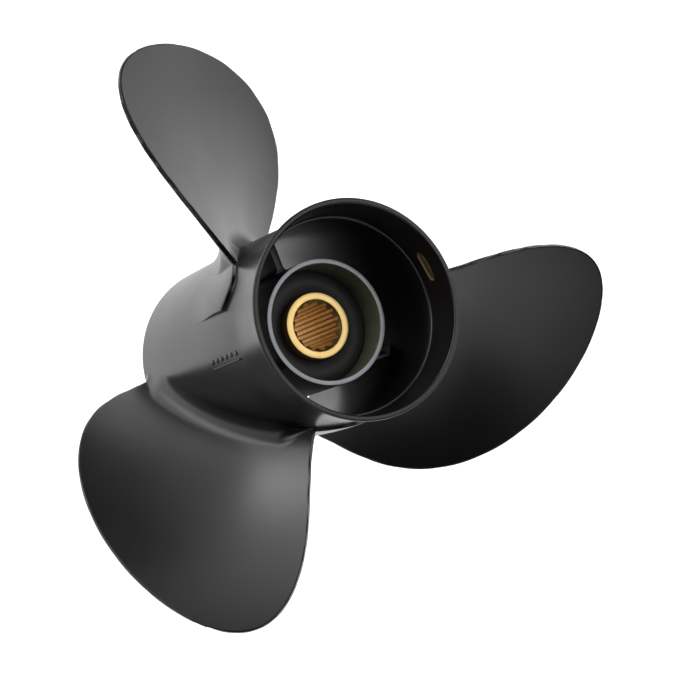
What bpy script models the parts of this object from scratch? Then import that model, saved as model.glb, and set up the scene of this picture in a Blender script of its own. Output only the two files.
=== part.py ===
"""Three-blade outboard propeller with exhaust through its hub.

The front end of the barrel, which meets the gearcase, stands on Z = 0 and the
shaft axis is +Z, so the exhaust ring at the aft end is on top. Seen from there
the propeller turns clockwise to drive ahead. The root of the first blade is
centred on +X. All lengths are in metres.
"""
import math

import bmesh
import bpy
from mathutils import Matrix, Vector

MM = 0.001
GAP = 0.3 * MM

# Barrel and the exhaust ring that continues it
HUB_LENGTH = 168.2 * MM
BARREL_END = 146.9 * MM
BARREL_BORE = 49.3 * MM
HUB_OUTLINE = (
    (0.0 * MM, 53.5 * MM),
    (40.0 * MM, 53.5 * MM),
    (100.0 * MM, 53.0 * MM),
    (120.0 * MM, 52.6 * MM),
    (136.0 * MM, 51.9 * MM),
    (146.0 * MM, 52.4 * MM),
    (157.0 * MM, 53.5 * MM),
    (HUB_LENGTH, 55.3 * MM),
)
RIM_CHAMFER = 0.6 * MM
RING_BORE_FOOT = 50.4 * MM
RING_BORE_LIP = 52.3 * MM
ROUND_STEPS = 72

# Shallow pocket inside the ring
POCKET_ANGLE = math.radians(39.2)
POCKET_HEIGHT = 155.0 * MM
POCKET_LENGTH = 16.4 * MM
POCKET_WIDTH = 5.6 * MM
POCKET_FLOOR = 52.2 * MM

# Inner tube, with a collar at its front end
TUBE_FRONT = 14.0 * MM
TUBE_AFT = 129.9 * MM
TUBE_OUTER = 32.4 * MM
TUBE_BORE = 29.9 * MM
COLLAR_BORE = 18.0 * MM
COLLAR_LENGTH = 10.0 * MM

# Ribs between the tube and the barrel, in line with the blades
RIB_COUNT = 3
RIB_THICKNESS = 3.8 * MM
RIB_FRONT = 18.0 * MM
RIB_AFT = 101.0 * MM

# Rubber bush pressed into the tube
BUSH_FRONT = TUBE_FRONT + COLLAR_LENGTH + GAP
BUSH_AFT = 111.0 * MM
BUSH_ROLL = 3.0 * MM
BUSH_SKIN = 0.35 * MM

# Splined brass sleeve in the bush
SLEEVE_FRONT = 12.0 * MM
SLEEVE_AFT = 118.6 * MM
SLEEVE_OUTER = 17.15 * MM
SLEEVE_MOUTH = 13.3 * MM
MOUTH_DEPTH = 1.3 * MM
SPLINE_TEETH = 15
SPLINE_ROOT = 12.7 * MM
SPLINE_CREST = 11.3 * MM
TOOTH_POINTS = (0.0, 0.36, 0.5, 0.86)
SLEEVE_CHAMFER = 0.6 * MM

# Blades
BLADE_COUNT = 3
ROOT_RADIUS = 48.06 * MM
TIP_RADIUS = 164.64 * MM
ROOT_HEIGHT = 62.31 * MM
RAKE = 0.4873
RAKE_CURVE = -1.204
FACE_THICK_ROOT = 9.0 * MM
FACE_THICK_TIP = 3.2 * MM
NOSE_THICK = 1.7 * MM
TAIL_THICK = 2.6 * MM
CHORD_STEPS = 18
SPAN_STEPS = 14
TIP_CUT = math.radians(88.3)

# Blade roots: the fillet, as shares of it at nose and tail, and its lowest height
FOOT_RADIUS = 53.3 * MM
FOOT_STEPS = 6
FILLET = 11.0 * MM
FILLET_AT_NOSE = 0.4
FILLET_AT_TAIL = 0.05
FILLET_EDGE = 0.35 * MM
FILLET_ROWS = (0.0, FILLET_EDGE / FILLET, 0.1, 0.22, 0.4, 0.65, 1.0, 1.4)


def clear_scene():
    for item in list(bpy.data.objects):
        bpy.data.objects.remove(item, do_unlink=True)


def material(name, colour, roughness, metallic):
    result = bpy.data.materials.new(name)
    result.use_nodes = True
    shader = result.node_tree.nodes["Principled BSDF"]
    shader.inputs["Base Color"].default_value = (*colour, 1.0)
    shader.inputs["Roughness"].default_value = roughness
    shader.inputs["Metallic"].default_value = metallic
    return result


def add_object(name, bm, finish, parent):
    """Makes an object of a closed bmesh, with its faces pointing out."""
    bmesh.ops.remove_doubles(bm, verts=bm.verts, dist=0.001 * MM)
    bmesh.ops.recalc_face_normals(bm, faces=bm.faces)
    mesh = bpy.data.meshes.new(name)
    bm.to_mesh(mesh)
    bm.free()
    mesh.shade_smooth()
    mesh.set_sharp_from_angle(angle=math.radians(35))
    mesh.materials.append(finish)
    result = bpy.data.objects.new(name, mesh)
    bpy.context.scene.collection.objects.link(result)
    result.parent = parent
    return result


def turned(outline, steps=ROUND_STEPS):
    """Spins a closed outline of (radius, height) points about Z."""
    bm = bmesh.new()
    verts = [bm.verts.new((radius, 0.0, height)) for radius, height in outline]
    pairs = zip(verts, verts[1:] + verts[:1])
    edges = [bm.edges.new(pair) for pair in pairs]
    bmesh.ops.spin(bm, geom=verts + edges, axis=(0, 0, 1), cent=(0, 0, 0),
                   angle=2 * math.pi, steps=steps, use_merge=True)
    return bm


def loft(bm, loops):
    """Bridges each loop of points to the next, and the last to the first."""
    rings = [[bm.verts.new(point) for point in loop] for loop in loops]
    for ring, following in zip(rings, rings[1:] + rings[:1]):
        for i, vert in enumerate(ring):
            j = (i + 1) % len(ring)
            bm.faces.new((vert, ring[j], following[j], following[i]))


def hub_radius(height):
    """Outer radius of the barrel or the ring at a height."""
    for (low, r_low), (high, r_high) in zip(HUB_OUTLINE, HUB_OUTLINE[1:]):
        if height <= high:
            share = (height - low) / (high - low)
            return r_low + (r_high - r_low) * max(share, 0.0)
    return HUB_OUTLINE[-1][1]


def make_barrel(finish, parent):
    outside = [(r, z) for z, r in HUB_OUTLINE if RIM_CHAMFER < z < BARREL_END]
    outline = [
        (BARREL_BORE, RIM_CHAMFER),
        (BARREL_BORE + RIM_CHAMFER, 0.0),
        (hub_radius(0.0) - RIM_CHAMFER, 0.0),
        (hub_radius(RIM_CHAMFER), RIM_CHAMFER),
        *outside,
        (hub_radius(BARREL_END), BARREL_END),
        (BARREL_BORE, BARREL_END),
    ]
    return add_object("outer_barrel", turned(outline), finish, parent)


def pocket_cutter(parent):
    """A round-ended block that stands in the ring's wall."""
    bm = bmesh.new()
    half = (POCKET_LENGTH - POCKET_WIDTH) / 2
    depth = POCKET_FLOOR - RING_BORE_FOOT + 2 * MM
    sides = 12
    outline = []
    for i in range(sides):
        turn = math.pi * (i / (sides / 2 - 1) - 0.5) if i < sides / 2 else 0.0
        if i >= sides / 2:
            turn = math.pi * ((i - sides / 2) / (sides / 2 - 1) + 0.5)
        centre = half if i < sides / 2 else -half
        outline.append(Vector((0.0,
                               centre + math.cos(turn) * POCKET_WIDTH / 2,
                               math.sin(turn) * POCKET_WIDTH / 2)))
    face = bm.faces.new([bm.verts.new(point) for point in outline])
    pushed = bmesh.ops.extrude_face_region(bm, geom=[face])["geom"]
    moved = [item for item in pushed if isinstance(item, bmesh.types.BMVert)]
    bmesh.ops.translate(bm, verts=moved, vec=(-depth, 0.0, 0.0))
    place = (Matrix.Rotation(POCKET_ANGLE, 4, "Z")
             @ Matrix.Translation((POCKET_FLOOR, 0.0, POCKET_HEIGHT)))
    bmesh.ops.transform(bm, matrix=place, verts=bm.verts)
    bmesh.ops.recalc_face_normals(bm, faces=bm.faces)
    mesh = bpy.data.meshes.new("pocket_cutter")
    bm.to_mesh(mesh)
    bm.free()
    cutter = bpy.data.objects.new("pocket_cutter", mesh)
    bpy.context.scene.collection.objects.link(cutter)
    cutter.parent = parent
    cutter.hide_render = True
    cutter.display_type = "WIRE"
    return cutter


def make_ring(finish, parent):
    foot = BARREL_END + GAP
    lip = HUB_LENGTH - RIM_CHAMFER
    outside = [(r, z) for z, r in HUB_OUTLINE if foot < z < lip]
    outline = [
        (RING_BORE_FOOT, foot),
        (hub_radius(foot), foot),
        *outside,
        (hub_radius(lip), lip),
        (hub_radius(HUB_LENGTH) - RIM_CHAMFER, HUB_LENGTH),
        (RING_BORE_LIP + RIM_CHAMFER, HUB_LENGTH),
        (RING_BORE_LIP, lip),
    ]
    ring = add_object("exhaust_ring", turned(outline), finish, parent)
    cut = ring.modifiers.new("pocket", "BOOLEAN")
    cut.operation = "DIFFERENCE"
    cut.object = pocket_cutter(parent)
    return ring


def make_tube(finish, parent):
    shoulder = TUBE_FRONT + COLLAR_LENGTH
    outline = [
        (COLLAR_BORE, TUBE_FRONT),
        (TUBE_OUTER - RIM_CHAMFER, TUBE_FRONT),
        (TUBE_OUTER, TUBE_FRONT + RIM_CHAMFER),
        (TUBE_OUTER, TUBE_AFT - RIM_CHAMFER),
        (TUBE_OUTER - RIM_CHAMFER, TUBE_AFT),
        (TUBE_BORE + RIM_CHAMFER, TUBE_AFT),
        (TUBE_BORE, TUBE_AFT - RIM_CHAMFER),
        (TUBE_BORE, shoulder),
        (COLLAR_BORE, shoulder),
    ]
    return add_object("inner_tube", turned(outline), finish, parent)


def make_rib(index, finish, parent):
    """A flat radial plate, its edges clear of both round walls."""
    inner = TUBE_OUTER + GAP
    wall = BARREL_BORE * math.cos(math.pi / ROUND_STEPS) - GAP
    outer = math.sqrt(wall ** 2 - (RIB_THICKNESS / 2) ** 2)
    bm = bmesh.new()
    size = Vector((outer - inner, RIB_THICKNESS, RIB_AFT - RIB_FRONT))
    middle = Vector(((outer + inner) / 2, 0.0, (RIB_AFT + RIB_FRONT) / 2))
    bmesh.ops.create_cube(bm, size=1.0,
                          matrix=Matrix.Translation(middle)
                          @ Matrix.Diagonal((*size, 1.0)))
    ends = [edge for edge in bm.edges
            if abs(edge.verts[0].co.x - edge.verts[1].co.x) > size.x / 2]
    bmesh.ops.bevel(bm, geom=ends, offset=1.2 * MM, segments=2, profile=0.5,
                    affect="EDGES")
    rib = add_object(f"rib_{index + 1}", bm, finish, parent)
    rib.rotation_euler.z = 2 * math.pi * index / RIB_COUNT
    return rib


def make_bush(finish, parent):
    """Rubber ring whose aft face swells between tube and sleeve."""
    inner = SLEEVE_OUTER + BUSH_SKIN
    outer = TUBE_BORE * math.cos(math.pi / ROUND_STEPS) - GAP
    roll = []
    steps = 6
    for i in range(steps + 1):
        share = i / steps
        roll.append((outer + (inner - outer) * share,
                     BUSH_AFT + BUSH_ROLL * math.sin(math.pi * share)))
    outline = [(inner, BUSH_FRONT), (outer, BUSH_FRONT), *roll]
    return add_object("rubber_bush", turned(outline), finish, parent)


def spline_loop(height, crest, root):
    """One turn of the toothed bore; equal radii give a plain circle."""
    points = []
    for tooth in range(SPLINE_TEETH):
        for share, radius in zip(TOOTH_POINTS, (crest, crest, root, root)):
            turn = 2 * math.pi * (tooth + share) / SPLINE_TEETH
            points.append(Vector((radius * math.cos(turn),
                                  radius * math.sin(turn), height)))
    return points


def make_sleeve(finish, parent):
    def plain(height, radius):
        return spline_loop(height, radius, radius)

    bm = bmesh.new()
    loft(bm, [
        plain(SLEEVE_FRONT, SLEEVE_OUTER - SLEEVE_CHAMFER),
        plain(SLEEVE_FRONT + SLEEVE_CHAMFER, SLEEVE_OUTER),
        plain(SLEEVE_AFT - SLEEVE_CHAMFER, SLEEVE_OUTER),
        plain(SLEEVE_AFT, SLEEVE_OUTER - SLEEVE_CHAMFER),
        plain(SLEEVE_AFT, SLEEVE_MOUTH),
        plain(SLEEVE_AFT - MOUTH_DEPTH, SLEEVE_MOUTH),
        spline_loop(SLEEVE_AFT - MOUTH_DEPTH, SPLINE_CREST, SPLINE_ROOT),
        spline_loop(SLEEVE_FRONT + MOUTH_DEPTH, SPLINE_CREST, SPLINE_ROOT),
        plain(SLEEVE_FRONT + MOUTH_DEPTH, SLEEVE_MOUTH),
        plain(SLEEVE_FRONT, SLEEVE_MOUTH),
    ])
    return add_object("brass_sleeve", bm, finish, parent)


def pitch(span):
    """Advance of the blade face in metres per radian of turn."""
    return (92.36 - 10.53 * span + 11.34 * span ** 2) * MM


def skew(span):
    """Angle from the blade's root line to the middle of its chord."""
    return -0.021 - 0.0293 * span + 0.108 * span ** 2 + 0.2043 * span ** 3


def half_width(span):
    """Half of the chord, measured round the axis."""
    fullness = 30.88 + 41.96 * span + 74.0 * span ** 2 - 61.3 * span ** 3
    return math.sqrt(max(1 - span ** 2, 0.0)) * fullness * MM


def face_point(radius, across):
    """A point of the driving face; across runs from -1, nose, to 1, tail."""
    span = (radius - ROOT_RADIUS) / (TIP_RADIUS - ROOT_RADIUS)
    advance = pitch(span)
    turn = skew(span) + across * half_width(span) / radius
    out = radius - ROOT_RADIUS
    height = ROOT_HEIGHT + RAKE * out + RAKE_CURVE * out ** 2 + advance * turn
    return Vector((radius * math.cos(turn), radius * math.sin(turn), height))


def face_normal(radius, across):
    """Unit normal of the driving face, pointing aft."""
    step = 0.5 * MM
    outer = min(radius + step, TIP_RADIUS)
    out = face_point(outer, across) - face_point(outer - 2 * step, across)
    along = face_point(radius, across + 0.01) - face_point(radius, across - 0.01)
    normal = out.cross(along).normalized()
    return normal if normal.z > 0 else -normal


def ease(share):
    share = min(max(share, 0.0), 1.0)
    return share * share * (3 - 2 * share)


def thickness(radius, across):
    """Thick in the middle of the chord; the tail is blunter than the nose."""
    span = (radius - ROOT_RADIUS) / (TIP_RADIUS - ROOT_RADIUS)
    most = FACE_THICK_ROOT + (FACE_THICK_TIP - FACE_THICK_ROOT) * span
    swell = max(1 - across ** 2, 0.0) ** 0.8
    toward_tail = (across + 1) / 2 * ease((1 - span) / 0.2)
    edge = NOSE_THICK + (TAIL_THICK - NOSE_THICK) * toward_tail
    return edge + (most - edge) * swell


def stations():
    """Places across the chord, closer together at the nose and the tail."""
    return [-math.cos(math.pi * i / CHORD_STEPS) for i in range(CHORD_STEPS + 1)]


def back_point(radius, across):
    """The point of the blade's back that lies at a radius."""
    source = radius
    for _ in range(4):
        depth = thickness(source, across)
        point = face_point(source, across) - face_normal(source, across) * depth
        source += radius - math.hypot(point.x, point.y)
    return point


def section(radius):
    """Closed loop at one radius: the face from nose to tail, then the back."""
    face = [face_point(radius, across) for across in stations()]
    back = [back_point(radius, across) for across in stations()]
    return face + back[::-1]


def fillet_at(across):
    """Fillet radius at the hub, small at the nose by the front rim and at the tail."""
    nose = FILLET_AT_NOSE + (1 - FILLET_AT_NOSE) * ease((across + 1) / 0.3)
    tail = FILLET_AT_TAIL + (1 - FILLET_AT_TAIL) * ease((1 - across) / 0.3)
    return FILLET * min(nose, tail)


def flare(size, height):
    """How far a fillet stands off the blade at a height, as a quarter circle."""
    rest = 1 - max(height, FILLET_EDGE) / size
    if rest <= 0:
        return 0.0
    return size * (1 - math.sqrt(1 - rest ** 2))


def unrolled(point):
    """The hub's skin laid flat: arc length round it, and height."""
    return Vector((math.atan2(point.y, point.x) * FOOT_RADIUS, point.z))


def rolled(flat, height):
    """A point that far above the hub, from its place on the flat skin."""
    turn = flat.x / FOOT_RADIUS
    radius = hub_radius(flat.y) + GAP + height
    return Vector((radius * math.cos(turn), radius * math.sin(turn), flat.y))


def filleted_section(height):
    """A section near the hub, pushed outwards where its fillet stands."""
    flat = [unrolled(point) for point in section(FOOT_RADIUS + height)]
    across = stations() + stations()[::-1]
    loop = []
    for i, point in enumerate(flat):
        ahead = flat[(i + 1) % len(flat)] - flat[i - 1]
        outward = Vector((-ahead.y, ahead.x)).normalized()
        loop.append(rolled(point + outward * flare(fillet_at(across[i]), height), height))
    return loop


def blade_loops():
    """Every section from the hub to the tip."""
    loops = [filleted_section(FILLET * share) for share in FILLET_ROWS]
    reach = TIP_RADIUS - ROOT_RADIUS
    start = FOOT_RADIUS + FILLET * FILLET_ROWS[-1]
    first = math.asin((start - ROOT_RADIUS) / reach)
    last = TIP_CUT
    for i in range(1, SPAN_STEPS + 1):
        turn = first + (last - first) * i / SPAN_STEPS
        loops.append(section(ROOT_RADIUS + reach * math.sin(turn)))
    return loops


def close_foot(bm, loop):
    """Closes the root with strips that follow the round hub."""
    strips = []
    for i in range(1, CHORD_STEPS):
        face, back = loop[i], loop[-1 - i]
        ends = unrolled(face.co), unrolled(back.co)
        between = [bm.verts.new(rolled(ends[0].lerp(ends[1], j / FOOT_STEPS), 0.0))
                   for j in range(1, FOOT_STEPS)]
        strips.append([face, *between, back])
    for strip, following in zip(strips, strips[1:]):
        for j in range(FOOT_STEPS):
            bm.faces.new((strip[j], following[j], following[j + 1], strip[j + 1]))
    bm.faces.new((loop[0], *strips[0], loop[-1]))
    bm.faces.new((loop[CHORD_STEPS], *strips[-1], loop[CHORD_STEPS + 1]))


def make_blade(index, finish, parent):
    bm = bmesh.new()
    loops = [[bm.verts.new(point) for point in loop] for loop in blade_loops()]
    for low, high in zip(loops, loops[1:]):
        for i, vert in enumerate(low):
            j = (i + 1) % len(low)
            bm.faces.new((vert, low[j], high[j], high[i]))
    bm.faces.new(loops[-1])
    close_foot(bm, loops[0])
    blade = add_object(f"blade_{index + 1}", bm, finish, parent)
    blade.rotation_euler.z = 2 * math.pi * index / BLADE_COUNT
    return blade


def main():
    clear_scene()
    black = material("painted_casting", (0.012, 0.012, 0.013), 0.42, 0.0)
    bare = material("coated_tube", (0.05, 0.05, 0.045), 0.45, 0.3)
    rubber = material("bush_rubber", (0.016, 0.016, 0.017), 0.7, 0.0)
    brass = material("machined_brass", (0.62, 0.43, 0.18), 0.35, 1.0)
    shaft_axis = bpy.data.objects.new("shaft_axis", None)
    bpy.context.scene.collection.objects.link(shaft_axis)
    make_barrel(black, shaft_axis)
    make_ring(black, shaft_axis)
    make_tube(bare, shaft_axis)
    for index in range(RIB_COUNT):
        make_rib(index, black, shaft_axis)
    for index in range(BLADE_COUNT):
        make_blade(index, black, shaft_axis)
    make_bush(rubber, shaft_axis)
    make_sleeve(brass, shaft_axis)


main()
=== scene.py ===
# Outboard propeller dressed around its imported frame.
# Metres; the shaft axis is +Z, the front rim stands on Z = 0 and the exhaust ring is on top.
import math
import bpy
import numpy as np
from mathutils import Matrix, Vector


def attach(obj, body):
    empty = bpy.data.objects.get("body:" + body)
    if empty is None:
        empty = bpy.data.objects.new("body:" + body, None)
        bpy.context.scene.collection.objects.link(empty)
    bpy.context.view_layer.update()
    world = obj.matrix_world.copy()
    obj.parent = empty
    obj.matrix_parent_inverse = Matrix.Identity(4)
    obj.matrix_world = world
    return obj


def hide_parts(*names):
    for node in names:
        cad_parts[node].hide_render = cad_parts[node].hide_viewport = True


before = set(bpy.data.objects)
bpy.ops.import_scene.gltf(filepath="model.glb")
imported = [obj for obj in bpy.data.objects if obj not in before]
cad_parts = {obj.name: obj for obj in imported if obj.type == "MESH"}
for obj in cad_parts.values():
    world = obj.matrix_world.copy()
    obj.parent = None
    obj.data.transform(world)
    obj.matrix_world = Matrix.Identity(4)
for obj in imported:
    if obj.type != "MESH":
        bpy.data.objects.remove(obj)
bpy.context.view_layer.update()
mm = 0.001

print("frame loaded:", len(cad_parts), "nodes")


# Working helpers

def deselectAll():
    if bpy.context.object and bpy.context.object.mode != "OBJECT":
        bpy.ops.object.mode_set(mode="OBJECT")
    bpy.ops.object.select_all(action="DESELECT")


def makeActive(piece):
    deselectAll()
    piece.select_set(True)
    bpy.context.view_layer.objects.active = piece


def editAll(piece):
    makeActive(piece)
    bpy.ops.object.mode_set(mode="EDIT")
    bpy.ops.mesh.select_all(action="SELECT")


def leaveEdit():
    bpy.ops.object.mode_set(mode="OBJECT")


def tidyMesh(piece, mergeDistance=0.002 * mm):
    editAll(piece)
    bpy.ops.mesh.remove_doubles(threshold=mergeDistance)
    bpy.ops.mesh.dissolve_degenerate(threshold=mergeDistance)
    bpy.ops.mesh.select_all(action="SELECT")
    bpy.ops.mesh.normals_make_consistent(inside=False)
    leaveEdit()


def smoothByAngle(piece, degrees=30):
    makeActive(piece)
    bpy.ops.object.shade_smooth_by_angle(angle=math.radians(degrees))


def applyModifier(piece, kind, **settings):
    makeActive(piece)
    modifier = piece.modifiers.new(kind.lower(), kind)
    for name, value in settings.items():
        setattr(modifier, name, value)
    bpy.ops.object.modifier_apply(modifier=modifier.name)


def turnedCopy(piece, name, angle):
    makeActive(piece)
    bpy.ops.object.duplicate()
    copy = bpy.context.object
    copy.name = copy.data.name = name
    copy.rotation_euler.z = angle
    bpy.ops.object.transform_apply(location=False, rotation=True, scale=False)
    return copy


def threefold(piece, name):
    # the piece and its two copies, each a third of a turn further
    return [piece] + [turnedCopy(piece, f"{name}_{i + 1}", 2 * math.pi * i / 3) for i in (1, 2)]


def arc(centreRadius, centreHeight, size, fromDegrees, toDegrees, steps):
    # points of a rounded corner in an outline of (radius, height)
    turns = [math.radians(fromDegrees + (toDegrees - fromDegrees) * i / steps) for i in range(steps + 1)]
    return [(centreRadius + size * math.cos(t), centreHeight + size * math.sin(t)) for t in turns]


def turnOutline(name, outline, sides):
    # lays a closed outline on a circle's vertices and spins it round the shaft
    deselectAll()
    bpy.ops.mesh.primitive_circle_add(vertices=len(outline), radius=0.01)
    piece = bpy.context.object
    piece.name = piece.data.name = name
    for vertex, (radius, height) in zip(piece.data.vertices, outline):
        vertex.co = (radius, 0, height)
    editAll(piece)
    bpy.ops.mesh.spin(steps=sides, angle=2 * math.pi, center=(0, 0, 0), axis=(0, 0, 1))
    leaveEdit()
    tidyMesh(piece)
    return piece


def cornerPoints(radius, height, offsets):
    # points round a corner of an outline, offsets outwards and upwards in mm
    return [(radius + out * mm, height + up * mm) for out, up in offsets]


def setMaterials(piece, *materials):
    piece.data.materials.clear()
    for material in materials:
        piece.data.materials.append(material)


def wear(piece, material, slotName, *nodes):
    setMaterials(piece, material)
    finishPiece(piece, slotName, *nodes)


def finishPiece(piece, slotName, *nodes):
    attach(piece, "root")
    if nodes:
        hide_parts(*nodes)


# Materials

def linear(code):
    # sRGB hex code to a linear colour
    parts = [int(code[i:i + 2], 16) / 255 for i in (1, 3, 5)]
    return tuple(p / 12.92 if p <= 0.04045 else ((p + 0.055) / 1.055) ** 2.4 for p in parts) + (1.0,)


def addNode(tree, kind, settings=None, inputs=None):
    # adds a node; an input is a value, or (node, output name) to link
    node = tree.nodes.new(kind)
    for name, value in (settings or {}).items():
        setattr(node, name, value)
    for name, value in (inputs or {}).items():
        if isinstance(value, tuple) and isinstance(value[0], bpy.types.Node):
            tree.links.new(value[0].outputs[value[1]], node.inputs[name])
        else:
            node.inputs[name].default_value = value
    return node


def newMaterial(name):
    material = bpy.data.materials.new(name)
    material.use_nodes = True
    tree = material.node_tree
    shader = tree.nodes["Principled BSDF"]
    place = addNode(tree, "ShaderNodeTexCoord")
    return material, tree, shader, place


noiseRange = (0.3, 0.7)      # between which a noise mostly stays
ringSpacing = 0.3            # metres between the rings of a wave node at scale 1


def addNoise(tree, vector, size, detail):
    return addNode(tree, "ShaderNodeTexNoise", None, {"Vector": vector, "Scale": 1 / size, "Detail": detail})


def wanderColour(tree, shader, noise, low, high):
    # base colour that wanders between two hex codes
    mix = addNode(tree, "ShaderNodeMix", {"data_type": "RGBA"},
                  {"Factor": (noise, "Fac"), 6: linear(low), 7: linear(high)})
    tree.links.new(mix.outputs[2], shader.inputs["Base Color"])


def addBump(tree, shader, pattern, depth, below=None):
    # bump from a pattern, laid over the bump below it
    inputs = {"Height": (pattern, "Fac"), "Distance": depth, "Strength": 1.0}
    if below:
        inputs["Normal"] = (below, "Normal")
    bump = addNode(tree, "ShaderNodeBump", None, inputs)
    tree.links.new(bump.outputs["Normal"], shader.inputs["Normal"])
    return bump


def addToolRings(tree, shader, place, settings):
    # concentric marks of a lathe tool on a face square to the shaft
    rings = addNode(tree, "ShaderNodeTexWave", {"wave_type": "RINGS", "rings_direction": "Z"},
                    {"Vector": (place, "Object"), "Scale": ringSpacing / settings["turningPitch"],
                     "Distortion": settings["wobble"], "Detail": 1.0})
    addBump(tree, shader, rings, settings["turningDepth"])


satinPaint = {
    "colour": "#0c0c0e",
    "lightColour": "#101013",
    "cloudSize": 40 * mm,
    "roughLow": 0.28,
    "roughHigh": 0.33,
    "ior": 1.5,
    "peelSize": 1.1 * mm,      # orange peel of sprayed enamel
    "peelDepth": 0.006 * mm,
    "castSize": 14 * mm,       # slow waves left by polishing the casting
    "castDepth": 0.05 * mm,
}


def makeSatinPaint():
    # Die-cast aluminium sprayed with satin black enamel: soft wide highlights, faint orange peel.
    p = satinPaint
    material, tree, shader, place = newMaterial("sprayedSatinEnamel")
    cloud = addNoise(tree, (place, "Object"), p["cloudSize"], 3.0)
    wanderColour(tree, shader, cloud, p["colour"], p["lightColour"])
    rough = addNode(tree, "ShaderNodeMapRange", None,
                    {"Value": (cloud, "Fac"), "From Min": noiseRange[0], "From Max": noiseRange[1],
                     "To Min": p["roughLow"], "To Max": p["roughHigh"]})
    tree.links.new(rough.outputs["Result"], shader.inputs["Roughness"])
    waves = addNoise(tree, (place, "Object"), p["castSize"], 1.0)
    waveBump = addBump(tree, shader, waves, p["castDepth"])
    peel = addNoise(tree, (place, "Object"), p["peelSize"], 2.0)
    addBump(tree, shader, peel, p["peelDepth"], waveBump)
    shader.inputs["IOR"].default_value = p["ior"]
    return material


coatedTube = {
    "colour": "#a9aab0",
    "darkColour": "#8f9197",
    "cloudSize": 9 * mm,
    "metallic": 0.7,
    "roughness": 0.42,
    "turningPitch": 0.5 * mm,
    "turningDepth": 0.004 * mm,
    "wobble": 0.4,
}


def makeCoatedTube():
    # Aluminium under a thin conversion coat, its rim faced on a lathe: dull grey with fine rings.
    p = coatedTube
    material, tree, shader, place = newMaterial("facedAluminium")
    cloud = addNoise(tree, (place, "Object"), p["cloudSize"], 4.0)
    wanderColour(tree, shader, cloud, p["darkColour"], p["colour"])
    addToolRings(tree, shader, place, p)
    shader.inputs["Metallic"].default_value = p["metallic"]
    shader.inputs["Roughness"].default_value = p["roughness"]
    return material


chromatedAluminium = {
    "Bore": ("#94957f", "#b4b49f"),      # dark and light colour of each place; the rim's lighter straw is a painted glint, the floor's darker brown is painted shade
    "RimPaintedGlint": ("#94855a", "#b5a578"),
    "FloorPaintedShade": ("#5f4f2c", "#857246"),
    "blotchSize": 2.5 * mm,
    "stretch": (1, 1, 0.3),              # blotches are drawn out along the shaft
    "etchDepth": 0.02 * mm,
    "metallic": 0.5,
    "roughness": 0.4,
}


def makeChromate(site):
    # Chromated aluminium without paint: olive to straw, a little blotchy, low sheen. The pocket rim's copy is
    # lighter as a painted glint, and the floor's is darker as painted shade.
    p = chromatedAluminium
    material, tree, shader, place = newMaterial("chromated" + site)
    stretched = addNode(tree, "ShaderNodeMapping", None,
                        {"Vector": (place, "Object"), "Scale": p["stretch"]})
    cloud = addNoise(tree, (stretched, "Vector"), p["blotchSize"], 5.0)
    wanderColour(tree, shader, cloud, *p[site])
    addBump(tree, shader, cloud, p["etchDepth"])
    shader.inputs["Metallic"].default_value = p["metallic"]
    shader.inputs["Roughness"].default_value = p["roughness"]
    return material


mouldedRubber = {
    "colour": "#2c2b2c",
    "lightColour": "#3a393a",
    "roughness": 0.62,
    "grainSize": 0.5 * mm,
    "grainDepth": 0.02 * mm,
}


def makeRubber():
    # Compression-moulded nitrile rubber: dark grey, matt, with a fine grain.
    p = mouldedRubber
    material, tree, shader, place = newMaterial("mouldedRubber")
    grain = addNoise(tree, (place, "Object"), p["grainSize"], 4.0)
    wanderColour(tree, shader, grain, p["colour"], p["lightColour"])
    addBump(tree, shader, grain, p["grainDepth"])
    shader.inputs["Roughness"].default_value = p["roughness"]
    return material


machinedBrass = {
    "turned": ("#dfb872", "#f2d795"),    # dull and bright colour of each place; the bore's darker, browner copy is painted shade
    "splineBoreShade": ("#c09a60", "#e6c88e"),
    "cloudSize": 3 * mm,
    "metallic": 1.0,
    "roughness": 0.36,
    "turningPitch": 0.45 * mm,
    "turningDepth": 0.006 * mm,
    "wobble": 0.6,
}


def makeBrass(brassSite):
    # Turned brass: warm yellow, concentric tool marks, slightly dulled in patches. The splines of the bore
    # take a darker, browner copy, which is painted shade.
    p = machinedBrass
    material, tree, shader, place = newMaterial(brassSite + "Brass")
    cloud = addNoise(tree, (place, "Object"), p["cloudSize"], 5.0)
    wanderColour(tree, shader, cloud, *p[brassSite])
    addToolRings(tree, shader, place, p)
    shader.inputs["Metallic"].default_value = p["metallic"]
    shader.inputs["Roughness"].default_value = p["roughness"]
    return material


paint = makeSatinPaint()
facedAluminium = makeCoatedTube()
# the pocket's rim and floor materials are chromate with a painted glint and painted shade
chromate, rimPaintedGlint, floorPaintedShade = [makeChromate(site) for site in ("Bore", "RimPaintedGlint", "FloorPaintedShade")]
rubber = makeRubber()
# the second brass is a darker copy that paints shade into the splined bore
brass, boreBrassPaintedShade = makeBrass("turned"), makeBrass("splineBoreShade")
print("materials made")


# Barrel and exhaust ring, one casting

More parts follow.
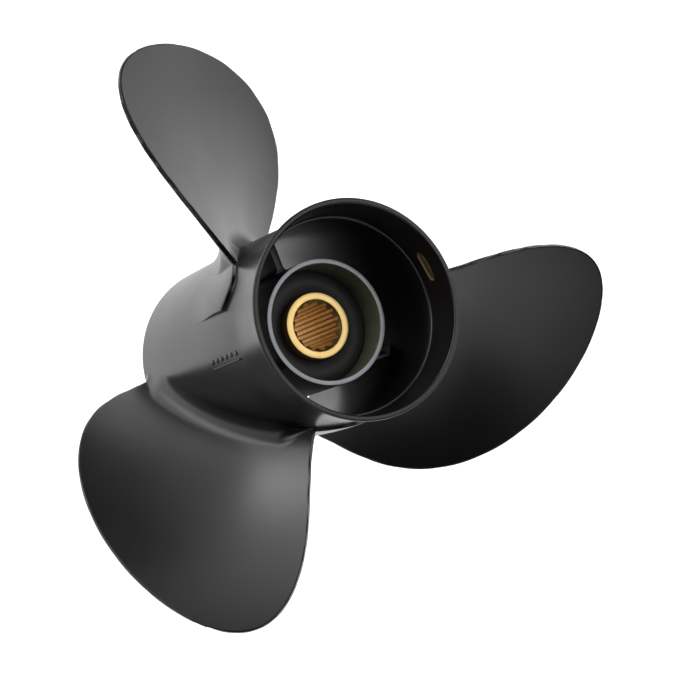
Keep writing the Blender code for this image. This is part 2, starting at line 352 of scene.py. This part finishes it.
hubForm = {
    "length": 168.2 * mm,
    "outline": ((0.0, 53.5), (40.0, 53.5), (100.0, 53.0), (120.0, 52.6), (136.0, 51.9), (146.0, 52.4),
                (157.0, 53.5), (168.2, 55.3)),      # heights and radii in mm
    "soften": 2.5 * mm,       # how far the outline's corners are blended
    "rows": (2, 20, 35, 45, 70, 97, 103, 112, 118, 122, 128, 133, 136, 139, 143, 146, 149, 153, 157, 161,
             165),            # heights of the mesh's rows in mm
    "bore": 49.3 * mm,
    "ledge": 146.9 * mm,      # where the bore widens into the ring
    "ledgeRoot": ((0.1, 0.8), (0, 0.25), (-0.25, 0)),      # corners, in mm beside their sharp point
    "ledgeEdge": ((0.35, 0), (0.1, -0.1), (0, -0.35)),
    "ringFoot": 50.45 * mm,
    "ringLip": 52.3 * mm,
    "outerRound": 0.8 * mm,
    "innerRound": 1.0 * mm,
    "frontInner": ((0, 0.8), (0.6, 0)),
    "frontOuter": ((-0.8, 0), (-0.2, 0.25), (0, 0.9)),
    "sides": 288,
}


def hubRadius(height):
    # outer radius of barrel and ring, blended round the outline's corners
    heights = [z * mm for z, r in hubForm["outline"]]
    radii = [r * mm for z, r in hubForm["outline"]]
    reach = min(hubForm["soften"], height, hubForm["length"] - height) if height > 0 else 0.0
    samples = [height + reach * share for share in (-1, -0.5, 0, 0.5, 1)]
    return float(np.mean(np.interp(samples, heights, radii)))


def onHub(turn, height, lift):
    # a point so far outside the hub's skin
    radius = hubRadius(height) + lift
    return Vector((radius * math.cos(turn), radius * math.sin(turn), height))


def makeHub():
    p = hubForm
    top, outer, inner = p["length"], p["outerRound"], p["innerRound"]
    outline = [(hubRadius(z * mm), z * mm) for z in p["rows"]]
    outline += arc(hubRadius(top) - outer, top - outer, outer, 0, 90, 5)
    outline += arc(p["ringLip"] + inner, top - inner, inner, 90, 180, 5)
    outline += cornerPoints(p["ringFoot"], p["ledge"], p["ledgeRoot"])
    outline += cornerPoints(p["bore"], p["ledge"], p["ledgeEdge"])
    outline += cornerPoints(p["bore"], 0.0, p["frontInner"])
    outline += cornerPoints(hubRadius(0), 0.0, p["frontOuter"])
    return turnOutline("hub_casting", outline, p["sides"])


# Pocket in the ring's inner wall

pocketForm = {
    "angle": math.radians(39.2),
    "height": 155.0 * mm,
    "length": 16.4 * mm,
    "width": 5.6 * mm,
    "cutFrom": 45 * mm,       # the cutter runs from this radius out to the floor's
    "floor": 52.15 * mm,
    "liningTop": 51.15 * mm,
    "play": 0.05 * mm,        # room between the lining and the casting
    "rim": 0.7 * mm,
    "dish": 0.45 * mm,
}


def roundEndedBlock(name, length, width, low, high, sides=24):
    # a slot-shaped block from radius low to high, turned and lifted to the pocket's place
    p = pocketForm
    deselectAll()
    bpy.ops.mesh.primitive_cylinder_add(vertices=sides, radius=width / 2, depth=high - low,
                                        rotation=(0, math.pi / 2, 0), location=((low + high) / 2, 0, 0))
    block = bpy.context.object
    block.name = block.data.name = name
    bpy.ops.object.transform_apply()
    shift = (length - width) / 2
    for vertex in block.data.vertices:
        vertex.co.y += math.copysign(shift, vertex.co.y)
    block.location.z = p["height"]
    block.rotation_euler.z = p["angle"]
    bpy.ops.object.transform_apply()
    return block


def cutPocket(hub):
    p = pocketForm
    cutter = roundEndedBlock("pocketCutter", p["length"], p["width"], p["cutFrom"], p["floor"])
    applyModifier(hub, "BOOLEAN", operation="DIFFERENCE", object=cutter, solver="EXACT")
    bpy.data.objects.remove(cutter, do_unlink=True)


def makePocketTray():
    # bare lining of the pocket: a slot-shaped plate whose inner face is sunk inside a sloping rim; the rim is
    # coloured with a painted glint and the sunk face with painted shade
    p = pocketForm
    tray = roundEndedBlock("pocket_tray", p["length"] - 2 * p["play"], p["width"] - 2 * p["play"],
                           p["liningTop"], p["floor"] - p["play"])
    inward = Vector((-math.cos(p["angle"]), -math.sin(p["angle"]), 0))
    editAll(tray)
    bpy.ops.mesh.select_all(action="DESELECT")
    leaveEdit()
    for face in tray.data.polygons:
        face.select = face.normal.dot(inward) > 0.99
    bpy.ops.object.mode_set(mode="EDIT")
    bpy.ops.mesh.inset(thickness=p["rim"], depth=-p["dish"])
    leaveEdit()
    # rim faces get the lighter painted glint, the sunk face the darker painted shade
    setMaterials(tray, rimPaintedGlint, floorPaintedShade)
    for face in tray.data.polygons:
        face.material_index = 1 if face.select else 0
    smoothByAngle(tray, 25)
    return tray


# Wedge-shaped step that the casting mould leaves on the barrel behind each blade

stepForm = {
    "rise": 1.9 * mm,
    # the wall's path up to its sharp corner and on from it: turn in degrees, height in mm
    "curve": ((31.0, 113.5), (35.5, 119.0), (40.5, 124.0), (46.5, 128.4), (52.5, 129.4), (58.5, 127.0),
              (64.0, 123.0)),
    "side": ((64.0, 123.0), (63.9, 116.0), (63.9, 109.0), (64.3, 100.0), (64.4, 92.0), (64.0, 80.0)),
    # where the top has run out into the barrel
    "shore": ((22.0, 91.0), (24.0, 84.0), (28.0, 76.0), (32.0, 70.0), (38.0, 65.0), (45.0, 61.0),
              (54.0, 58.0)),
    # the wall from its foot up: mm off the path and share of the rise, or mm where it is below 0
    "wall": ((1.0, -0.5), (0.5, -0.02), (0.33, 0.06), (0.22, 0.2), (0.14, 0.45), (0.06, 0.8), (0, 0.93),
             (-0.15, 1.0)),
    "fadeFrom": 0.6,           # share of the path from which the wall gets lower
    "hollow": 1.6,             # power by which the top dips towards the shore
    "sunk": 0.02 * mm,
    "corner": 52,              # row of the grid at the path's sharp corner
    "along": 92,
    "across": 30,
}
degreeLength = math.radians(1) * 53.5     # mm on the barrel's skin for one degree of turn


def smoothPoint(points, share):
    # a point of the Catmull-Rom curve through points, share running from 0 to 1
    place = share * (len(points) - 1)
    i = min(int(place), len(points) - 2)
    t = place - i
    near = (max(i - 1, 0), i, i + 1, min(i + 2, len(points) - 1))
    a, b, c, d = [Vector(points[n]) for n in near]
    bend = (2 * a - 5 * b + 4 * c - d) * t ** 2 + (3 * b - a - 3 * c + d) * t ** 3
    return 0.5 * (2 * b + (c - a) * t + bend)


def ease(share):
    share = min(max(share, 0.0), 1.0)
    return share * share * (3 - 2 * share)


def stepEdge(row):
    # place on the path and a step of one mm straight off it, longer where the path turns
    p = stepForm
    places = []
    for near in (row - 0.5, row, row + 0.5):
        near = min(max(near, 0), p["along"])
        if near <= p["corner"]:
            places.append(smoothPoint(p["curve"], near / p["corner"]))
        else:
            places.append(smoothPoint(p["side"], (near - p["corner"]) / (p["along"] - p["corner"])))
    before, edge, after = [Vector((place.x * degreeLength, place.y)) for place in places]
    sides = [side for side in (edge - before, after - edge) if side.length > 1e-6]
    outward = [Vector((-side.y, side.x)).normalized() for side in sides]
    miter = sum(outward, Vector((0, 0))).normalized()
    return edge, miter / max(miter.dot(outward[0]), 0.5)


def makeStep():
    # a grid wrapped on the barrel: its wall stands along the path and its top sinks to the shore
    p = stepForm
    deselectAll()
    bpy.ops.mesh.primitive_grid_add(x_subdivisions=p["across"], y_subdivisions=p["along"], size=1)
    step = bpy.context.object
    step.name = step.data.name = "mould_step_1"
    wall = p["wall"]
    columns = p["across"] + 1
    for index, vertex in enumerate(step.data.vertices):
        column, row = index % columns, index // columns
        along = row / p["along"]
        edge, outward = stepEdge(row)
        high = p["rise"] * (1 - ease((along - p["fadeFrom"]) / (1 - p["fadeFrom"])))
        if column < len(wall):
            off, lift = wall[column]
            spot = edge + outward * off
            height = lift * high if lift >= 0 else lift * mm
        else:
            inward = (column - len(wall) + 1) / (columns - len(wall))
            shore = smoothPoint(p["shore"], along)
            spot = edge.lerp(Vector((shore.x * degreeLength, shore.y)), inward)
            height = high * (1 - ease(inward)) ** p["hollow"] - p["sunk"] * inward
        vertex.co = onHub(math.radians(spot.x / degreeLength), spot.y * mm, height)
    tidyMesh(step)
    facing = sum(face.normal.dot(Vector((face.center.x, face.center.y, 0))) for face in step.data.polygons)
    if facing < 0:
        editAll(step)
        bpy.ops.mesh.flip_normals()
        leaveEdit()
    smoothByAngle(step, 60)
    return step


# Row of plain foundry pips on the barrel, with a bar beside it

pipForm = {
    "turn": math.radians(208.5),
    "barTurn": math.radians(212.4),
    "firstHeight": 99 * mm,
    "pitch": 6.0 * mm,
    "count": 6,
    "radius": 1.3 * mm,
    "depth": 1.2 * mm,
    "lift": 0.45 * mm,        # how far pips and bar stand out of the barrel
    "barWidth": 0.8 * mm,
    "rounding": 0.25 * mm,
}


def makePips():
    p = pipForm
    lift = p["lift"] - p["depth"] / 2
    made = []
    for i in range(p["count"]):
        height = p["firstHeight"] + i * p["pitch"]
        deselectAll()
        bpy.ops.mesh.primitive_cylinder_add(vertices=20, radius=p["radius"], depth=p["depth"],
                                            rotation=(0, math.pi / 2, p["turn"]))
        pip = bpy.context.object
        pip.location = onHub(p["turn"], height, lift)
        bpy.ops.object.transform_apply()
        made.append(pip)
    deselectAll()
    length = p["pitch"] * p["count"]
    bpy.ops.mesh.primitive_cube_add(size=1)
    bar = bpy.context.object
    bar.scale = (p["depth"], p["barWidth"], length)
    middle = p["firstHeight"] + length / 2 - p["pitch"] / 2
    bar.location = onHub(p["barTurn"], middle, lift)
    bar.rotation_euler.z = p["barTurn"]
    bpy.ops.object.transform_apply()
    made.append(bar)
    for pip in made:
        applyModifier(pip, "BEVEL", width=p["rounding"], segments=3, limit_method="ANGLE")
        smoothByAngle(pip, 40)
    deselectAll()
    for pip in made:
        pip.select_set(True)
    bpy.context.view_layer.objects.active = made[0]
    bpy.ops.object.join()
    pips = bpy.context.object
    pips.name = pips.data.name = "foundry_pips"
    return pips


# Inner tube

tubeForm = {
    "front": 14.0 * mm,
    "aft": 129.9 * mm,
    "outer": 32.4 * mm,
    "bore": 29.9 * mm,
    "collarBore": 18.0 * mm,
    "collar": 10.0 * mm,
    "frontRound": 1.0 * mm,
    "chamfer": 0.6 * mm,      # where the bore meets the collar and the front
    "collarEdge": 0.5 * mm,
    "outerRound": 0.25 * mm,  # of the faced rim
    "innerRound": 0.35 * mm,
    "lip": 1.2 * mm,          # plain end of the bore by the rim
    "band": 20 * mm,          # the same on the outside
    "facedDepth": 0.06 * mm,  # the lathe has bared what lies this close to the rim's plane
    "paintOver": 0.1 * mm,    # paint reaches this far over the rim's outer edge
    "coatOut": 0.3 * mm,      # and the chromate this far out of the bore
    "sides": 192,
}


def makeTube():
    p = tubeForm
    shoulder = p["front"] + p["collar"]
    outer, inner, edge, front = p["outerRound"], p["innerRound"], p["chamfer"], p["frontRound"]
    outline = [
        (p["collarBore"] + edge, p["front"]),
        (p["outer"] - front, p["front"]),
        (p["outer"] - 0.3 * front, p["front"] + 0.3 * front),
        (p["outer"], p["front"] + front),
        (p["outer"], p["aft"] - p["band"]),
        (p["outer"], p["aft"] - 2 * outer),
        *arc(p["outer"] - outer, p["aft"] - outer, outer, 0, 90, 3),
        *arc(p["bore"] + inner, p["aft"] - inner, inner, 90, 180, 3),
        (p["bore"], p["aft"] - p["lip"]),
        (p["bore"], shoulder + edge),
        (p["bore"] - edge, shoulder),
        (p["collarBore"] + p["collarEdge"], shoulder),
        (p["collarBore"], shoulder - p["collarEdge"]),
        (p["collarBore"], p["front"] + edge),
    ]
    tube = turnOutline("tube_casting", outline, p["sides"])
    setMaterials(tube, paint, facedAluminium, chromate)
    for face in tube.data.polygons:
        middle = math.hypot(face.center.x, face.center.y)
        if face.center.z > p["aft"] - p["facedDepth"] and middle < p["outer"] - p["paintOver"]:
            face.material_index = 1
        elif middle < p["bore"] + p["coatOut"]:
            face.material_index = 2
    smoothByAngle(tube, 32)
    return tube


# Ribs between tube and barrel

ribForm = {
    "thick": 3.8 * mm,
    "front": 18.0 * mm,
    "aft": 101.0 * mm,
    "inner": 32.3 * mm,
    "outer": 49.4 * mm,
    "fillet": 3.0 * mm,
    "rounding": 0.4 * mm,
}


def makeRib():
    # half of the cross-section is laid out with its fillets, mirrored, filled and extruded
    p = ribForm
    half, f = p["thick"] / 2, p["fillet"]
    turns = [math.radians(15 * i) for i in range(7)]
    upper = [(p["inner"] + f - f * math.sin(t), half + f - f * math.cos(t)) for t in reversed(turns)]
    upper += [(p["outer"] - f + f * math.sin(t), half + f - f * math.cos(t)) for t in turns]
    outline = upper + [(x, -y) for x, y in reversed(upper)]
    deselectAll()
    bpy.ops.mesh.primitive_circle_add(vertices=len(outline), radius=0.01, fill_type="NGON")
    rib = bpy.context.object
    rib.name = rib.data.name = "rib_casting_1"
    for vertex, (x, y) in zip(rib.data.vertices, outline):
        vertex.co = (x, y, p["front"])
    editAll(rib)
    bpy.ops.mesh.extrude_region_move(TRANSFORM_OT_translate={"value": (0, 0, p["aft"] - p["front"])})
    leaveEdit()
    tidyMesh(rib)
    applyModifier(rib, "BEVEL", width=p["rounding"], segments=3, limit_method="ANGLE",
                  angle_limit=math.radians(60))
    smoothByAngle(rib, 35)
    return rib


# Blades

bladeForm = {
    "rootRadius": 48.06 * mm,
    "tipRadius": 164.64 * mm,
    "rootHeight": 62.31 * mm,
    "rake": 0.4873,
    "rakeCurve": -1.204,
    "thickRoot": 9.0 * mm,
    "thickTip": 3.2 * mm,
    "noseEdge": 1.7 * mm,
    "tailEdge": 2.6 * mm,
    "tailCorner": 0.55 * mm,
    "fullness": 0.8,           # power of a section's roundness
    "edgeEase": 12 * mm,       # how far in from the outline the edge stays thin
    "tipFrom": 0.8,            # share of the span from which the tail gets as thin as the nose
    # what changes along the span, as factors of the powers of that share
    "pitch": (92.36, -10.53, 11.34),             # mm for a turn of one radian
    "skew": (-0.021, -0.0293, 0.108, 0.2043),    # radians
    "width": (30.88, 41.96, 74.0, -61.3),        # mm from the middle to an edge, before the tip rounds it
    "around": 88,
    "spanRows": 76,
    "outlineSteps": 240,
}

rootForm = {
    "radius": 53.3 * mm,
    "fillet": 11.0 * mm,
    "atNose": 0.4,             # share of the fillet that is left there
    "atTail": 0.05,
    "endReach": 0.3,           # how far from either end it is smaller, half the chord being 1
    "rows": 14,
    "sunk": 0.12 * mm,         # depth of the fillet's foot in the skin
    "apron": 1.0 * mm,         # and how far it spreads there
    "seamDepth": 1.5 * mm,
}


def grown(powers, span):
    # first factor at the root, and the others times the powers of the share of the span
    return sum(factor * span ** i for i, factor in enumerate(powers))


def halfWidthAt(span):
    return math.sqrt(max(1 - span ** 2, 0.0)) * grown(bladeForm["width"], span) * mm


def facePoint(radius, across):
    # driving face; across runs from -1 at the nose to 1 at the tail
    p = bladeForm
    span = (radius - p["rootRadius"]) / (p["tipRadius"] - p["rootRadius"])
    turn = grown(p["skew"], span) + across * halfWidthAt(span) / radius
    out = radius - p["rootRadius"]
    height = p["rootHeight"] + p["rake"] * out + p["rakeCurve"] * out ** 2
    height += grown(p["pitch"], span) * mm * turn
    return Vector((radius * math.cos(turn), radius * math.sin(turn), height))


def faceNormal(radius, across):
    step = 0.4 * mm
    outer = min(radius + step, bladeForm["tipRadius"])
    out = facePoint(outer, across) - facePoint(outer - 2 * step, across)
    along = facePoint(radius, across + 0.01) - facePoint(radius, across - 0.01)
    normal = out.cross(along).normalized()
    return normal if normal.z > 0 else -normal


def underFace(radius, across, depth):
    # point so deep under the face, and still at that radius
    source = radius
    for _ in range(4):
        point = facePoint(source, across) - faceNormal(source, across) * depth
        source += radius - math.hypot(point.x, point.y)
    return point


def outlinePoints():
    # points of both edges of the driving face, closer together towards the tip
    p = bladeForm
    reach, steps = p["tipRadius"] - p["rootRadius"], p["outlineSteps"]
    radii = [p["rootRadius"] + reach * math.sin(math.pi / 2 * i / steps) for i in range(steps + 1)]
    return np.array([facePoint(radius, side) for side in (-1, 1) for radius in radii])


def bladeSection(radius, edge):
    # closed loop at one radius: face from nose to tail, then the back to the nose again
    p = bladeForm
    span = (radius - p["rootRadius"]) / (p["tipRadius"] - p["rootRadius"])
    most = p["thickRoot"] + (p["thickTip"] - p["thickRoot"]) * span
    towardTip = ease((span - p["tipFrom"]) / (1 - p["tipFrom"]))
    face, back = [], []
    for i in range(p["around"] + 1):
        across = -math.cos(math.pi * i / p["around"])
        gone = float(np.min(np.linalg.norm(edge - np.array(facePoint(radius, across)), axis=1)))
        thinnest, corner = p["noseEdge"], p["noseEdge"] / 2
        if across > 0:
            thinnest = p["tailEdge"] + (p["noseEdge"] - p["tailEdge"]) * towardTip
            corner = p["tailCorner"] + (p["noseEdge"] / 2 - p["tailCorner"]) * towardTip
        swell = min(max(1 - across ** 2, 0.0) ** p["fullness"], 1 - math.exp(-gone / p["edgeEase"]))
        thick = thinnest + (most - thinnest) * swell
        drop = 0.0
        if gone < corner:
            drop = corner - math.sqrt(corner ** 2 - (corner - gone) ** 2)
        face.append(underFace(radius, across, drop))
        back.append(underFace(radius, across, thick - drop))
    return face + back[:0:-1]


def filletAt(across):
    # small at the nose, by the front rim, and at the tail
    p = rootForm
    nose = p["atNose"] + (1 - p["atNose"]) * ease((across + 1) / p["endReach"])
    tail = p["atTail"] + (1 - p["atTail"]) * ease((1 - across) / p["endReach"])
    return p["fillet"] * min(nose, tail)


def flareAt(size, height):
    # how far a round fillet of that size stands out at a height above the skin
    rest = min(max(1 - height / size, 0.0), 1.0)
    return size * (1 - math.sqrt(1 - rest ** 2))


def unrolled(point):
    # the hub's skin laid flat: length of arc and height
    return Vector((math.atan2(point.y, point.x) * rootForm["radius"], point.z))


def rolled(flat, height):
    return onHub(flat.x / rootForm["radius"], flat.y, height)


def rootSection(height, edge, apron=0.0):
    # a section near the hub, pushed outwards where its fillet stands
    around = bladeForm["around"]
    flat = [unrolled(point) for point in bladeSection(rootForm["radius"] + max(height, 0.0), edge)]
    loop = []
    for i, point in enumerate(flat):
        across = -math.cos(math.pi * i / around)
        if i > around:
            across = -math.cos(math.pi * (2 * around + 1 - i) / around)
        ahead = flat[(i + 1) % len(flat)] - flat[i - 1]
        outward = Vector((-ahead.y, ahead.x)).normalized()
        size = filletAt(across)
        offset = flareAt(size, height) + apron * size / rootForm["fillet"]
        loop.append(rolled(point + outward * offset, height))
    return loop


def rootSeam(loop):
    # line inside the hub's wall where the two sides of the foot meet
    around = bladeForm["around"]
    seam = []
    for i in range(len(loop)):
        partner = (2 * around + 1 - i) % len(loop)
        if i == around:
            partner = around + 1
        middle = (unrolled(loop[i]) + unrolled(loop[partner])) / 2
        seam.append(rolled(middle, -rootForm["seamDepth"]))
    return seam


def bladeLoops():
    p, root = bladeForm, rootForm
    edge = outlinePoints()
    loops = [rootSection(-root["sunk"], edge, root["apron"])]
    loops.insert(0, rootSeam(loops[0]))
    for i in range(root["rows"] + 1):
        loops.append(rootSection(root["fillet"] * (1 - math.cos(math.pi / 2 * i / root["rows"])), edge))
    reach = p["tipRadius"] - p["rootRadius"]
    first = math.asin((root["radius"] + root["fillet"] - p["rootRadius"]) / reach)
    for i in range(1, p["spanRows"] + 1):
        turn = first + (math.pi / 2 - first) * i / p["spanRows"]
        loops.append(bladeSection(p["rootRadius"] + reach * math.sin(turn), edge))
    return loops


def makeBlade():
    # a grid drawn on like a sock: its columns run round each section, its rows from the hub to the tip
    loops = bladeLoops()
    columns = len(loops[0]) + 1
    deselectAll()
    bpy.ops.mesh.primitive_grid_add(x_subdivisions=columns - 1, y_subdivisions=len(loops) - 1, size=1)
    blade = bpy.context.object
    blade.name = blade.data.name = "blade_casting_1"
    for index, vertex in enumerate(blade.data.vertices):
        loop = loops[index // columns]
        vertex.co = loop[index % columns % len(loop)]
    tidyMesh(blade, 0.004 * mm)
    smoothByAngle(blade, 40)
    return blade


# Rubber bush

bushForm = {
    "front": 24.3 * mm,
    "aft": 111.0 * mm,
    "roll": 3.0 * mm,          # how far its aft face bulges
    "fullness": 0.8,
    "inner": 17.3 * mm,
    "outer": 29.85 * mm,
    "steps": 22,
    "sides": 160,
}


def makeBush():
    p = bushForm
    face = []
    for i in range(p["steps"] + 1):
        share = i / p["steps"]
        lift = p["roll"] * math.sin(math.pi * share) ** p["fullness"]
        face.append((p["outer"] + (p["inner"] - p["outer"]) * share, p["aft"] + lift))
    outline = [(p["inner"], p["front"]), (p["outer"], p["front"]), *face]
    bush = turnOutline("bush_moulding", outline, p["sides"])
    smoothByAngle(bush, 40)
    return bush


# Brass sleeve

sleeveForm = {
    "front": 12.0 * mm,
    "aft": 118.6 * mm,
    "outer": 17.15 * mm,
    "mouth": 13.3 * mm,
    "mouthDepth": 0.7 * mm,
    "chamfer": 0.5 * mm,
    "outerRound": 0.4 * mm,
    "innerRound": 0.5 * mm,
    "teeth": 15,
    "toothPoints": 16,
    "squareness": 2.2,         # of the teeth, whose flanks are a wave round the bore
    "root": 12.7 * mm,
    "crest": 11.3 * mm,
    "core": 10.0 * mm,         # bore before the splines are cut; the teeth end in its cone
    "cutterSpare": 8 * mm,
    "plainEdge": 0.05 * mm,    # broached faces lie at least this much inside the mouth
    "sides": 180,
}


def makeSleeve():
    p = sleeveForm
    low, high = p["front"] + p["mouthDepth"], p["aft"] - p["mouthDepth"]
    outer, inner, edge = p["outerRound"], p["innerRound"], p["chamfer"]
    outline = [
        (p["outer"] - edge, p["front"]),
        (p["outer"], p["front"] + edge),
        (p["outer"], p["aft"] - edge),
        *arc(p["outer"] - outer, p["aft"] - outer, outer, 0, 90, 3),
        *arc(p["mouth"] + inner, p["aft"] - inner, inner, 90, 180, 3),
        (p["mouth"], high),
        (p["core"], high - (p["mouth"] - p["core"])),
        (p["core"], low),
        (p["mouth"], low),
        (p["mouth"], p["front"] + edge),
        (p["mouth"] + edge, p["front"]),
    ]
    sleeve = turnOutline("sleeve_turning", outline, p["sides"])
    cutter = makeSplineCutter(low - p["cutterSpare"], high + p["cutterSpare"])
    applyModifier(sleeve, "BOOLEAN", operation="DIFFERENCE", object=cutter, solver="EXACT")
    bpy.data.objects.remove(cutter, do_unlink=True)
    setMaterials(sleeve, brass, boreBrassPaintedShade)
    # splined bore faces get the darker brass, which is painted shade
    for face in sleeve.data.polygons:
        inBore = math.hypot(face.center.x, face.center.y) < p["mouth"] - p["plainEdge"]
        face.material_index = 1 if inBore and abs(face.normal.z) < 0.3 else 0
    smoothByAngle(sleeve, 30)
    return sleeve


def makeSplineCutter(low, high):
    # the shape of the splined shaft
    p = sleeveForm
    count = p["teeth"] * p["toothPoints"]
    deselectAll()
    bpy.ops.mesh.primitive_circle_add(vertices=count, radius=p["root"], fill_type="NGON",
                                      location=(0, 0, low))
    cutter = bpy.context.object
    bpy.ops.object.transform_apply()
    middle, swing = (p["root"] + p["crest"]) / 2, (p["root"] - p["crest"]) / 2
    for i, vertex in enumerate(cutter.data.vertices):
        turn = 2 * math.pi * i / count
        wave = math.tanh(p["squareness"] * math.sin(p["teeth"] * turn)) / math.tanh(p["squareness"])
        radius = middle + swing * wave
        vertex.co = (radius * math.cos(turn), radius * math.sin(turn), low)
    editAll(cutter)
    bpy.ops.mesh.extrude_region_move(TRANSFORM_OT_translate={"value": (0, 0, high - low)})
    leaveEdit()
    tidyMesh(cutter)
    return cutter


# Making the pieces

blackSlot = "painted_casting"

hub = makeHub()
cutPocket(hub)
smoothByAngle(hub, 32)
wear(hub, paint, blackSlot, "outer_barrel", "exhaust_ring")
print("hub made:", len(hub.data.polygons), "faces")

pocketTray = makePocketTray()
finishPiece(pocketTray, blackSlot)

for step in threefold(makeStep(), "mould_step"):
    wear(step, paint, blackSlot)

pips = makePips()
wear(pips, paint, blackSlot)

tube = makeTube()
finishPiece(tube, "coated_tube", "inner_tube")

for i, rib in enumerate(threefold(makeRib(), "rib_casting")):
    wear(rib, paint, blackSlot, f"rib_{i + 1}")
print("tube and ribs made")

for i, blade in enumerate(threefold(makeBlade(), "blade_casting")):
    wear(blade, paint, blackSlot, f"blade_{i + 1}")
print("blades made:", len(blade.data.polygons), "faces each")

bush = makeBush()
wear(bush, rubber, "bush_rubber", "rubber_bush")
sleeve = makeSleeve()
finishPiece(sleeve, "machined_brass", "brass_sleeve")
print("bush and sleeve made")


# Floor, light and camera

studio = {
    "floorSize": 14,
    "floorLight": 1.2,
    "skyLight": 0.0,
    "distance": 1.3,           # of every softbox from the middle of the hub
    "middle": 0.1,             # its height
}

# softboxes round the object in tiers, and the brightness of each by its azimuth in degrees
softboxTiers = (
    {"elevation": 9, "width": 0.62, "height": 0.42,
     "boxes": {24: 1.5, 48: 1.5, 120: 0.9, 144: 6.7, 264: 0.9, 288: 1.0, 312: 1.4}},
    {"elevation": 30, "width": 0.72, "height": 0.52, "boxes": {140: 2.0, 172: 4.5, 300: 1.2}},
    {"elevation": 56, "width": 0.8, "height": 0.6, "boxes": {31: 1.8}},
    {"elevation": 88, "width": 0.8, "height": 0.8, "boxes": {0: 1.3}},
)

opalAcrylic = {
    "colour": "#868686",
    "lightColour": "#8c8c8c",
    "cloudScale": 1.5,
    "roughness": 0.25,
}


def makeFloor():
    # Opal acrylic light table: white and lit softly from below, with a slight gloss.
    p = opalAcrylic
    deselectAll()
    bpy.ops.mesh.primitive_plane_add(size=studio["floorSize"])
    floor = bpy.context.object
    floor.name = floor.data.name = "floor"
    material, tree, shader, place = newMaterial("opalAcrylic")
    cloud = addNode(tree, "ShaderNodeTexNoise", None, {"Vector": (place, "Object"), "Scale": p["cloudScale"]})
    wanderColour(tree, shader, cloud, p["colour"], p["lightColour"])
    shader.inputs["Roughness"].default_value = p["roughness"]
    shader.inputs["Emission Color"].default_value = (1, 1, 1, 1)
    shader.inputs["Emission Strength"].default_value = studio["floorLight"]
    floor.data.materials.append(material)


def addSoftbox(tier, azimuth, brightness):
    a, e = math.radians(azimuth), math.radians(tier["elevation"])
    toward = Vector((math.cos(e) * math.cos(a), math.cos(e) * math.sin(a), math.sin(e)))
    place = Vector((0, 0, studio["middle"])) + toward * studio["distance"]
    bpy.ops.object.light_add(type="AREA", location=place)
    softbox = bpy.context.object
    softbox.name = f"softbox_{azimuth}_{tier['elevation']}"
    softbox.rotation_euler = (-toward).to_track_quat("-Z", "Y").to_euler()
    softbox.data.shape = "RECTANGLE"
    softbox.data.size, softbox.data.size_y = tier["width"], tier["height"]
    softbox.data.energy = math.pi * tier["width"] * tier["height"] * brightness
    softbox.visible_camera = False


def makeLights():
    bpy.context.scene.view_settings.view_transform = "Standard"
    world = bpy.data.worlds.new("studio")
    bpy.context.scene.world = world
    world.use_nodes = True
    sky = world.node_tree.nodes["Background"]
    sky.inputs["Color"].default_value = (1, 1, 1, 1)
    sky.inputs["Strength"].default_value = studio["skyLight"]
    for tier in softboxTiers:
        for azimuth, brightness in tier["boxes"].items():
            addSoftbox(tier, azimuth, brightness)


# camera fitted to the hub's circles and the blades' outlines in the photograph
cameraForm = {
    "place": (-0.38717, -0.23787, 1.06516),
    "right": (0.90570, 0.10892, 0.40970),
    "up": (-0.18833, 0.96920, 0.15870),
    "view": (0.37976, 0.22087, -0.89830),
    "lens": 109.49,
}


def makeCamera():
    p = cameraForm
    data = bpy.data.cameras.new("photoCamera")
    data.sensor_width = 36
    data.lens = p["lens"]
    camera = bpy.data.objects.new("photoCamera", data)
    bpy.context.scene.collection.objects.link(camera)
    turn = Matrix((p["right"], p["up"], [-v for v in p["view"]])).transposed().to_4x4()
    camera.matrix_world = Matrix.Translation(p["place"]) @ turn
    bpy.context.scene.camera = camera


makeFloor()
makeLights()
makeCamera()
print("stage set")
